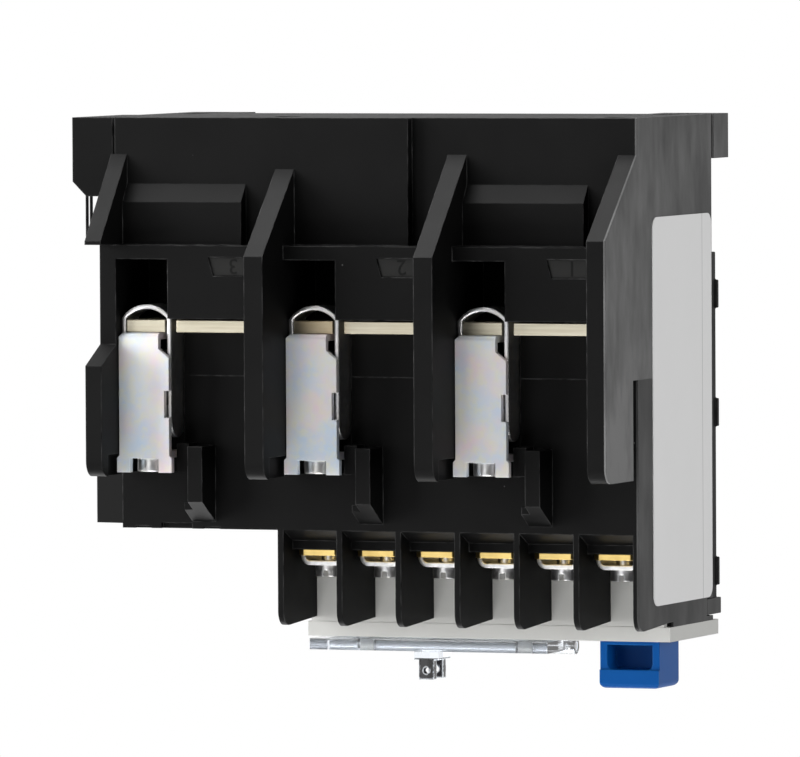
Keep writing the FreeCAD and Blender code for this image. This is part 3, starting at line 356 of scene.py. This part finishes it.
face_the_load_side = Matrix.Rotation(math.radians(90), 4, "X")
numeral_z = plate_top + plate_height / 2
panels = bmesh.new()
for number, pole in zip(poles, pole_places):
    left = pole - plate_start - plate_margin
    right = pole - plate_start - plate_width + plate_margin
    low = plate_top + plate_margin
    high = plate_top + plate_height - plate_margin
    corners = [
        (right, plate_face, low),
        (left, plate_face, low),
        (left - plate_lean, plate_face, high),
        (right, plate_face, high),
    ]
    sheet_from(panels, corners, plate_skin)
    numeral_x = pole - plate_start - numeral_along * plate_width
    written(
        "pole_numeral_%d" % number,
        str(number),
        numeral_height,
        Vector((numeral_x, plate_face - plate_skin, numeral_z)),
        face_the_load_side,
        "housing",
        numeral_ink,
        numeral_thickness,
    )
new_piece("number_panels", mesh_from(panels, "number_panels"), "housing", matt_panel)


# Current sensors: a window core of stacked steel sheets round each bar, with a coil of lacquered copper
# wire on its lower limb. They stand on pedestals in the mounting half.
lamination = 0.5 * millimetre
coil_wire = 0.4 * millimetre
coil_edge = 0.4 * millimetre
core_dark = (0.10, 0.10, 0.11)
core_bright = (0.27, 0.27, 0.28)
wire_dark = (0.22, 0.07, 0.025)
wire_bright = (0.56, 0.22, 0.08)
crease = math.radians(30)
flat_within = math.radians(0.5)
facet_joint = 0.001 * millimetre
rounding_steps = 2


def softened(node, edge):
    """A copy of a CAD node with its facets joined and its sharp edges rounded, which stands for the node."""
    form = bmesh.new()
    form.from_mesh(frame["nodes"][node].data)
    bmesh.ops.remove_doubles(form, verts=form.verts, dist=facet_joint)
    bmesh.ops.dissolve_limit(form, angle_limit=flat_within, verts=form.verts, edges=form.edges)
    bmesh.ops.connect_verts_concave(form, faces=form.faces)
    for face in form.faces:
        face.smooth = True
    mesh = mesh_from(form, node + "_softened")
    if "custom_normal" in mesh.attributes:
        mesh.attributes.remove(mesh.attributes["custom_normal"])
    mesh.set_sharp_from_angle(angle=crease)
    piece = bpy.data.objects.new(node + "_softened", mesh)
    rounding = piece.modifiers.new("rounding", "BEVEL")
    rounding.width = edge
    rounding.segments = rounding_steps
    rounding.limit_method = "ANGLE"
    rounding.angle_limit = crease
    rounding.use_clamp_overlap = False
    rounding.harden_normals = True
    link_piece(piece, frame["nodes"][node]["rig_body"])
    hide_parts(node)
    return piece


striped, stripe_in = new_group("striped", {"Pitch": lamination, "Wander": 0.15}, ["AlongX", "AlongY"])
stripe_place = object_place(striped)
stripe_axes = axes_of(striped, stripe_place)
stripe_shift = reckoned(striped, "MULTIPLY", mottle(striped, stripe_place, 900.0), stripe_in["Wander"])
stripe_waves = {}
for axis in ("X", "Y"):
    turns = reckoned(striped, "DIVIDE", stripe_axes[axis], stripe_in["Pitch"])
    wandering = reckoned(striped, "ADD", turns, stripe_shift)
    stripe_waves["Along" + axis] = reckoned(striped, "PINGPONG", wandering, 1.0)
put(striped, "NodeGroupOutput", stripe_waves)

core_steel, tree, shader = new_finish("core_steel", {"Metallic": 1.0})
sheets = effect(tree, striped, Pitch=lamination)["AlongY"]
tinted(shader, sheets, core_dark, core_bright)
roughened(shader, sheets, 0.55, 0.35)
raised(shader, sheets, 0.05 * millimetre)

coil_copper, tree, shader = new_finish("coil_copper", {"Metallic": 0.9, "Coat Weight": 0.5})
winding = effect(tree, striped, Pitch=coil_wire)["AlongX"]
tinted(shader, winding, wire_dark, wire_bright)
roughened(shader, winding, 0.5, 0.28)
raised(shader, winding, 0.15 * millimetre, 1.0, coil_edge)

for number in poles:
    finish_with(softened("sensor_core_%d" % number, 0.2 * millimetre), core_steel)
    finish_with(frame["nodes"]["sensor_coil_%d" % number], coil_copper)


# Conductor bars: copper strip sheared to shape, slotted for the lug strap and tinned all over.
# The cut faces show fine shear lines, and the tin yellows where the bar has been warm.
tin_bright = (0.72, 0.68, 0.55)
tin_dull = (0.52, 0.46, 0.33)
tin_warm = (0.50, 0.36, 0.19)
warm_spot = (8.5 * millimetre, -5.3 * millimetre, 36.8 * millimetre)
warm_reach = 6.5 * millimetre
warm_core = 3.0 * millimetre

brushed, brush_in = new_group("brushed", {"Along": 60.0, "Across": 2600.0}, ["Lines", "Patches"])
brush_place = object_place(brushed)
brush_sizes = {"X": brush_in["Along"], "Y": brush_in["Across"], "Z": brush_in["Across"]}
brush_scale = put(brushed, "ShaderNodeCombineXYZ", brush_sizes).outputs["Vector"]
brush_stretch = stretched(brushed, brush_place, brush_scale)
brush_masks = {
    "Lines": mottle(brushed, brush_stretch, 1.0, detail=4.0, roughness=0.65),
    "Patches": mottle(brushed, brush_place, 190.0, detail=3.0),
}
put(brushed, "NodeGroupOutput", brush_masks)

tinned_copper, tree, shader = new_finish("tinned_copper", {"Metallic": 1.0})
shear = effect(tree, brushed, Along=90.0, Across=2400.0)
tin_tone = between(tree, span(tree, shear["Lines"], -0.3, 1.1), tin_bright, tin_dull)
warm_ends = {0: object_place(tree), 1: warm_spot}
warm_away = put(tree, "ShaderNodeVectorMath", warm_ends, operation="DISTANCE").outputs["Value"]
warm_fade = mapped(tree, warm_away, warm_reach, warm_core)
tinted(shader, reckoned(tree, "MULTIPLY", warm_fade, shear["Patches"]), tin_tone, tin_warm)
roughened(shader, shear["Lines"], 0.28, 0.5)
raised(shader, shear["Lines"], 0.02 * millimetre, 0.6)

for number in poles:
    finish_with(softened("busbar_%d" % number, 0.14 * millimetre), tinned_copper)


# Box lugs: a steel strap arched over the bar, a folded front plate and a screw that draws the strap up.
# All are zinc plated with a clear passivation that leaves a faint pink, blue and straw bloom.
zinc_pink = (0.85, 0.69, 0.73)
zinc_blue = (0.60, 0.73, 0.88)
zinc_straw = (0.83, 0.82, 0.65)
zinc_grey = (0.77, 0.78, 0.79)
zinc_edge = (0.90, 0.90, 0.90)
polished_cool = (0.88, 0.88, 0.89)
polished_warm = (0.93, 0.91, 0.87)
folded_edge = 0.2 * millimetre
bloom_begins = 0.42
bloom_full = 0.72

bloom, bloom_in = new_group("bloom", {"Size": 130.0}, ["First", "Second", "Smears"])
bloom_place = object_place(bloom)
bloom_masks = {}
for mask, offset, finer in (("First", 0.0, 1.0), ("Second", 0.31, 1.0), ("Smears", 0.77, 5.0)):
    spot_ends = {0: bloom_place, 1: (offset, offset, offset)}
    spot = put(bloom, "ShaderNodeVectorMath", spot_ends, operation="ADD").outputs["Vector"]
    patches = mottle(bloom, spot, reckoned(bloom, "MULTIPLY", bloom_in["Size"], finer), detail=2.5)
    bloom_masks[mask] = mapped(bloom, patches, bloom_begins, bloom_full)
put(bloom, "NodeGroupOutput", bloom_masks)

zinc_plate, tree, shader = new_finish("zinc_plate", {"Metallic": 0.45})
tint = effect(tree, bloom, Size=150.0)
wear = effect(tree, worn_edge, Width=folded_edge, Breakup=300.0)
zinc_first = between(tree, tint["First"], zinc_grey, zinc_pink)
zinc_second = between(tree, tint["Second"], zinc_first, zinc_blue)
zinc_third = between(tree, span(tree, tint["Smears"], 0.0, 0.55), zinc_second, zinc_straw)
tinted(shader, wear["Edge"], zinc_third, zinc_edge)
roughened(shader, tint["Smears"], 0.56, 0.68)
raised(shader, tint["Smears"], 0.01 * millimetre, 0.3, folded_edge)


def polished_zinc(name, edge, dents):
    """Bright plated steel that mirrors the room, with its sheared edges tumbled round."""
    finish, tree, shader = new_finish(name, {"Metallic": 1.0})
    tint = effect(tree, bloom, Size=300.0)
    tinted(shader, tint["First"], polished_cool, polished_warm)
    roughened(shader, tint["Smears"], 0.30, 0.44)
    raised(shader, tint["Smears"], 0.02 * millimetre, dents, edge)
    return finish


strap_zinc = polished_zinc("strap_zinc", 0.6 * millimetre, 0.08)
screw_zinc = polished_zinc("screw_zinc", 0.35 * millimetre, 0.5)
for number in poles:
    finish_with(frame["nodes"]["lug_strap_%d" % number], strap_zinc)
    finish_with(frame["nodes"]["lug_plate_%d" % number], zinc_plate)
    finish_with(softened("lug_screw_%d" % number, 0.2 * millimetre), screw_zinc)


# Circuit boards: glass-fibre boards under green lacquer with copper tracks below it.
# The main board hangs on four posts of the front half, and the setting board sits under the front cover.
lacquer_dark = (0.012, 0.10, 0.035, 1.0)
lacquer_light = (0.014, 0.12, 0.040, 1.0)
lacquer_track = (0.030, 0.21, 0.075, 1.0)

board_green, tree, shader = new_finish("board_green", {"Roughness": 0.32, "Coat Weight": 0.3})
track_values = {
    "Vector": object_place(tree),
    "Scale": 160.0,
    "Mortar Size": 0.12,
    "Color1": lacquer_dark,
    "Color2": lacquer_light,
    "Mortar": lacquer_track,
}
tracks = put(tree, "ShaderNodeTexBrick", track_values).outputs
tree.links.new(tracks["Color"], shader.inputs["Base Color"])
raised(shader, tracks["Fac"], 0.03 * millimetre)
for node in ("circuit_board", "setting_board"):
    finish_with(frame["nodes"][node], board_green)


# Larger pieces on the boards: the trip relay's case, an electrolytic can, the controller and a flat cable.
# They are bought-in parts with plain moulded or drawn finishes.
rubbed_width = 0.25 * millimetre


def moulded_finish(name, deep, pale, roughness, specular=0.5, grain_depth=0.01, wear=None, edge=None):
    """A moulded plastic: a lightly clouded colour, fine grain and, with a wear colour, rubbed edges."""
    finish, tree, shader = new_finish(name, {"Specular IOR Level": specular})
    skin = effect(tree, moulded_skin, Cloud=120.0)
    colour = between(tree, skin["Cloudiness"], deep, pale)
    if wear:
        rubbed = effect(tree, worn_edge, Width=rubbed_width)
        colour = between(tree, rubbed["Edge"], colour, wear)
    tree.links.new(colour, shader.inputs["Base Color"])
    roughened(shader, skin["Cloudiness"], *roughness)
    raised(shader, skin["Height"], grain_depth * millimetre, 0.5, edge)
    return finish


relay_case = moulded_finish("relay_case", (0.60, 0.60, 0.57), (0.70, 0.70, 0.68), (0.3, 0.45))
chip_black = moulded_finish("chip_black", (0.014, 0.014, 0.014), (0.025, 0.025, 0.025), (0.5, 0.7))
ribbon_grey = moulded_finish("ribbon_grey", (0.28, 0.28, 0.29), (0.38, 0.38, 0.39), (0.45, 0.6))

can_dark = (0.50, 0.50, 0.52)
can_bright = (0.68, 0.68, 0.70)
capacitor_can, tree, shader = new_finish("capacitor_can", {"Metallic": 1.0})
drawn = effect(tree, brushed, Along=2400.0, Across=90.0)["Lines"]
tinted(shader, drawn, can_dark, can_bright)
roughened(shader, drawn, 0.25, 0.45)

finish_with(softened("trip_relay", 0.4 * millimetre), relay_case)
finish_with(softened("storage_capacitor", 0.2 * millimetre), capacitor_can)
finish_with(softened("controller_chip", 0.15 * millimetre), chip_black)
finish_with(frame["nodes"]["ribbon_link"], ribbon_grey)
finish_with(softened("board_screws", 0.15 * millimetre), zinc_plate)


# Front half of the housing: the lower load wall with its hooks, the deck and the terminal barriers.
# It is moulded in the same black as the mounting half and held to it by four screws from the back.
front_black = black_moulding("front_black", 0.2 * millimetre, 0.36)
finish_with(frame["nodes"]["front_housing"], front_black)
finish_with(softened("case_screws", 0.2 * millimetre), zinc_plate)


# Line-side cover: a black plate snapped over the sensor chamber, with three latch ribs at the label side.
# It is moulded in the same black as the front half.
finish_with(softened("rear_cover", 0.2 * millimetre), front_black)


# Control terminals: stamped brass plates with a tail to the main board, steel saddle washers
# and slotted screws. The brass is bright where it was sheared and faintly tarnished on its faces.
brass_deep = (0.84, 0.61, 0.20)
brass_pale = (0.92, 0.71, 0.29)
brass_tarnish = (0.58, 0.38, 0.11)
terminals = range(1, 7)

brass, tree, shader = new_finish("brass", {"Metallic": 1.0})
rolled = effect(tree, brushed, Along=200.0, Across=2000.0)["Lines"]
tarnish = effect(tree, bloom, Size=260.0)["First"]
brass_tone = between(tree, rolled, brass_deep, brass_pale)
tinted(shader, span(tree, tarnish, 0.0, 0.5), brass_tone, brass_tarnish)
roughened(shader, rolled, 0.22, 0.4)
raised(shader, rolled, 0.01 * millimetre, 0.5)

for number in terminals:
    finish_with(softened("terminal_plate_%d" % number, 0.12 * millimetre), brass)
finish_with(frame["nodes"]["saddle_washers"], screw_zinc)
finish_with(frame["nodes"]["terminal_screws"], screw_zinc)


# Front cover: a grey thermoplastic lid whose skirt drops behind the control terminals.
# It has a spark-eroded matt face, a sunk setting well and two hinge ears.
grey_plastic = moulded_finish(
    "grey_plastic",
    (0.50, 0.50, 0.48),
    (0.58, 0.58, 0.56),
    (0.5, 0.65),
    specular=0.35,
    grain_depth=0.02,
    wear=(0.66, 0.66, 0.64),
    edge=0.25 * millimetre,
)
finish_with(frame["nodes"]["front_cover"], grey_plastic)


# Settings in the well: a white slotted dial with printed numbers on its potentiometer, three class sliders
# in a red switch block, and beside the window a red test button and the orange trip flag in its sight hole.
dial_white = moulded_finish("dial_white", (0.70, 0.70, 0.67), (0.80, 0.80, 0.78), (0.35, 0.5))
switch_red = moulded_finish("switch_red", (0.40, 0.018, 0.014), (0.52, 0.03, 0.02), (0.35, 0.5))
switch_black = moulded_finish("switch_black", (0.014, 0.014, 0.014), (0.026, 0.026, 0.026), (0.45, 0.6))
flag_orange = moulded_finish("flag_orange", (0.70, 0.16, 0.015), (0.82, 0.22, 0.02), (0.4, 0.55))
finish_with(softened("current_dial", 0.2 * millimetre), dial_white)
for number in (1, 2, 3):
    finish_with(softened("class_slider_%d" % number, 0.12 * millimetre), dial_white)
finish_with(softened("class_switch", 0.15 * millimetre), switch_red)
finish_with(softened("dial_pot", 0.2 * millimetre), chip_black)
finish_with(softened("test_button", 0.3 * millimetre), switch_red)
finish_with(softened("test_switch", 0.2 * millimetre), switch_black)
finish_with(softened("trip_flag", 0.15 * millimetre), flag_orange)

dial_low, dial_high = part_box("current_dial")
dial_x = (dial_low[0] + dial_high[0]) / 2
dial_y = (dial_low[1] + dial_high[1]) / 2
dial_ring = 3.45 * millimetre
dial_numeral = 0.95 * millimetre
dial_angles = (330, 0, 30, 150, 180, 210)
print_thickness = 0.03 * millimetre
for number, angle in enumerate(dial_angles, 1):
    way = math.radians(angle)
    written(
        "dial_numeral_%d" % number,
        str(number),
        dial_numeral,
        Vector((dial_x + dial_ring * math.cos(way), dial_y + dial_ring * math.sin(way), dial_high[2])),
        Matrix.Rotation(way - math.radians(90), 4, "Z"),
        frame["nodes"]["current_dial"]["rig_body"],
        numeral_ink,
        print_thickness,
    )

pointer_tip = 5.1 * millimetre
pointer_length = 1.3 * millimetre
pointer_half = 0.6 * millimetre
cover_face = 92.6 * millimetre
pointer = bmesh.new()
pointer_corners = [
    (dial_x, dial_y - pointer_tip, cover_face),
    (dial_x - pointer_half, dial_y - pointer_tip - pointer_length, cover_face),
    (dial_x + pointer_half, dial_y - pointer_tip - pointer_length, cover_face),
]
sheet_from(pointer, pointer_corners, print_thickness)
new_piece("dial_pointer", mesh_from(pointer, "dial_pointer"), "housing", numeral_ink)


# Window: a clear hinged moulding over the well, with a two-pronged post for a wire seal.
# It turns on a drawn steel pin held by the two ears of the front cover.
clear_post_z = 96.3 * millimetre
clear_rim = 0.5 * millimetre
clear_tint = (0.91, 0.95, 1.0)
post_painted_shade = (0.0006, 0.0006, 0.0007)
pin_dark = (0.74, 0.74, 0.75)
pin_bright = (0.84, 0.84, 0.85)

clear_plastic, tree, shader = new_finish("clear_plastic", {"Transmission Weight": 1.0, "IOR": 1.49})
# Painted shade: the post's faces are painted near black to stand for the dark refractions in its prongs,
# while its rims and inner faces are left clear.
clear_post = reckoned(tree, "GREATER_THAN", axes_of(tree, object_place(tree))["Z"], clear_post_z)
clear_inside = put(tree, "ShaderNodeNewGeometry").outputs["Backfacing"]
post_left_clear = reckoned(tree, "MAXIMUM", effect(tree, worn_edge, Width=clear_rim)["Rim"], clear_inside)
post_painted_shade_mask = reckoned(tree, "MULTIPLY", clear_post, span(tree, post_left_clear, 1.0, 0.0))
tinted(shader, post_painted_shade_mask, clear_tint, post_painted_shade)
skin = effect(tree, moulded_skin, Grain=900.0, Cloud=160.0)
roughened(shader, skin["Cloudiness"], 0.0, 0.09)
raised(shader, skin["Cloudiness"], 0.05 * millimetre, 0.3)
finish_with(frame["nodes"]["window_cover"], clear_plastic)

spring_steel, tree, shader = new_finish("spring_steel", {"Metallic": 0.5})
drawn = effect(tree, brushed, Along=150.0, Across=2800.0)["Lines"]
tinted(shader, drawn, pin_dark, pin_bright)
roughened(shader, drawn, 0.42, 0.58)
finish_with(frame["nodes"]["window_pin"], spring_steel)


# Reset lever: a blue push cap with a hollow face for the fingertip, on a stem over the trip relay.
# A coil spring between its flange and the relay's case lifts it back.
blue_plastic = moulded_finish(
    "blue_plastic",
    (0.001, 0.062, 0.250),
    (0.002, 0.079, 0.305),
    (0.36, 0.48),
    specular=0.08,
    wear=(0.02, 0.17, 0.46),
    edge=0.3 * millimetre,
)
finish_with(frame["nodes"]["reset_lever"], blue_plastic)

reset_coil = bpy.data.objects.new("reset_coil", frame["nodes"]["reset_spring"].data.copy())
link_piece(reset_coil, frame["nodes"]["reset_spring"]["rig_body"])
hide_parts("reset_spring")
finish_with(reset_coil, spring_steel)
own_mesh(reset_coil)


# Side label: a bare white polyester film across the joint of the two case halves, with one printed rule.
# It is cut with round corners and stuck down, and it waves a little over the moulding.
label_rule_y = 33.6 * millimetre
label_rule_rim = 0.14 * millimetre
label_rule_core = 0.08 * millimetre
label_deep = (0.66, 0.66, 0.66)
label_pale = (0.73, 0.73, 0.73)
label_grey = (0.36, 0.36, 0.36)

label_white, tree, shader = new_finish("label_white", {"Specular IOR Level": 0.4})
skin = effect(tree, moulded_skin, Grain=2500.0, Cloud=60.0)
label_off = reckoned(tree, "SUBTRACT", axes_of(tree, object_place(tree))["Y"], label_rule_y)
label_line = mapped(tree, reckoned(tree, "ABSOLUTE", label_off), label_rule_rim, label_rule_core)
label_tone = between(tree, skin["Cloudiness"], label_deep, label_pale)
tinted(shader, label_line, label_tone, label_grey)
roughened(shader, skin["Cloudiness"], 0.35, 0.5)
raised(shader, skin["Cloudiness"], 0.25 * millimetre, 0.35)
finish_with(frame["nodes"]["side_label"], label_white)


# Studio: a pale floor that only the camera sees, and from above only, because the photograph shows the
# relay turned over and looks up past the floor. The strongest of the soft boxes stand above and at the left
# in the photograph.
floor_half = 1.6
floor_grey = (0.82, 0.82, 0.82, 1.0)
floor_form = bmesh.new()
bmesh.ops.create_grid(floor_form, x_segments=1, y_segments=1, size=floor_half)
floor_mesh = mesh_from(floor_form, "floor")
floor = bpy.data.objects.new("floor", floor_mesh)
bpy.context.scene.collection.objects.link(floor)
floor.visible_shadow = False
floor.visible_glossy = False
floor.visible_diffuse = False
floor.visible_transmission = False
floor_paint, tree, shader = new_finish("floor_paint", {"Base Color": floor_grey, "Roughness": 0.8})
floor_side = put(tree, "ShaderNodeNewGeometry").outputs["Backfacing"]
floor_clear = put(tree, "ShaderNodeBsdfTransparent").outputs["BSDF"]
floor_mix = put(tree, "ShaderNodeMixShader", {0: floor_side, 1: shader.outputs["BSDF"], 2: floor_clear})
tree.links.new(floor_mix.outputs["Shader"], tree.nodes["Material Output"].inputs["Surface"])
floor_mesh.materials.append(floor_paint)

relay_middle = Vector((0.0, 0.012, 0.048))


def soft_box(name, place, width, height, watts):
    """A soft area lamp that is turned to the relay's middle."""
    lamp = bpy.data.lights.new(name, "AREA")
    lamp.shape = "RECTANGLE"
    lamp.size = width
    lamp.size_y = height
    lamp.energy = watts
    carrier = bpy.data.objects.new(name, lamp)
    bpy.context.scene.collection.objects.link(carrier)
    carrier.visible_camera = False
    carrier.location = place
    carrier.rotation_euler = (relay_middle - Vector(place)).to_track_quat("-Z", "Y").to_euler()


soft_box("left_box", (1.00, -0.50, -0.10), 0.8, 0.8, 14.0)
soft_box("upper_box", (0.42, -0.09, -1.10), 0.8, 0.8, 21.0)
soft_box("lower_box", (0.43, 0.50, 1.00), 0.8, 0.8, 7.0)
soft_box("knee_box", (0.00, -0.75, 0.96), 0.8, 0.8, 9.0)
soft_box("right_box", (-1.10, -0.45, -0.05), 0.5, 0.8, 6.2)
soft_box("front_box", (0.53, -1.39, 0.11), 0.65, 0.65, 1.9)

# White backdrop behind the relay and a dim room in front of it, with an even level for matt surfaces
room_glow = 0.09
room_end = 0.1
backdrop_glow = 1.0
backdrop_start = 0.7
even_glow = 0.33
world = bpy.data.worlds.new("studio")
bpy.context.scene.world = world
world.use_nodes = True
sky = world.node_tree
sky_depth = axes_of(sky, put(sky, "ShaderNodeTexCoord").outputs["Generated"])["Y"]
sky_room = mapped(sky, sky_depth, room_end, backdrop_start, room_glow, backdrop_glow)
sky_rays = put(sky, "ShaderNodeLightPath").outputs
sky_sharp = reckoned(sky, "MAXIMUM", sky_rays["Is Glossy Ray"], sky_rays["Is Transmission Ray"])
sky_lit = put(sky, "ShaderNodeMix", {0: sky_sharp, 2: even_glow, 3: sky_room}).outputs[0]
sky_shown = put(sky, "ShaderNodeMix", {0: sky_rays["Is Camera Ray"], 2: sky_lit, 3: backdrop_glow})
sky.links.new(sky_shown.outputs[0], sky.nodes["Background"].inputs["Strength"])
sky.nodes["Background"].inputs["Color"].default_value = (1.0, 1.0, 1.0, 1.0)


# Camera: fitted to the photograph, which shows the load side from 21 degrees to the label side
# through a long lens, with the relay turned over.
photo_width = 800
photo_azimuth = math.radians(-20.8206)
photo_elevation = math.radians(-2.4635)
photo_roll = math.radians(180.3029)
photo_focal = 11426.78
photo_distance = 2.02363
photo_centre = (-1.9394, 8.9821)
sensor_width = 36.0
farthest_seen = 10.0

back = Vector(
    (
        math.sin(photo_azimuth) * math.cos(photo_elevation),
        -math.cos(photo_azimuth) * math.cos(photo_elevation),
        math.sin(photo_elevation),
    )
)
level = Vector((math.cos(photo_azimuth), math.sin(photo_azimuth), 0.0))
upright = back.cross(level)
across = level * math.cos(photo_roll) - upright * math.sin(photo_roll)
upward = level * math.sin(photo_roll) + upright * math.cos(photo_roll)
lens = bpy.data.cameras.new("photo_camera")
lens.sensor_width = sensor_width
lens.sensor_fit = "HORIZONTAL"
lens.lens = photo_focal * sensor_width / photo_width
lens.shift_x = -photo_centre[0] / photo_width
lens.shift_y = photo_centre[1] / photo_width
lens.clip_end = farthest_seen
camera = bpy.data.objects.new("photo_camera", lens)
bpy.context.scene.collection.objects.link(camera)
turn = Matrix((across, upward, back)).transposed().to_4x4()
camera.matrix_world = Matrix.Translation(relay_middle + back * photo_distance) @ turn
bpy.context.scene.camera = camera
bpy.context.scene.view_settings.view_transform = "Standard"
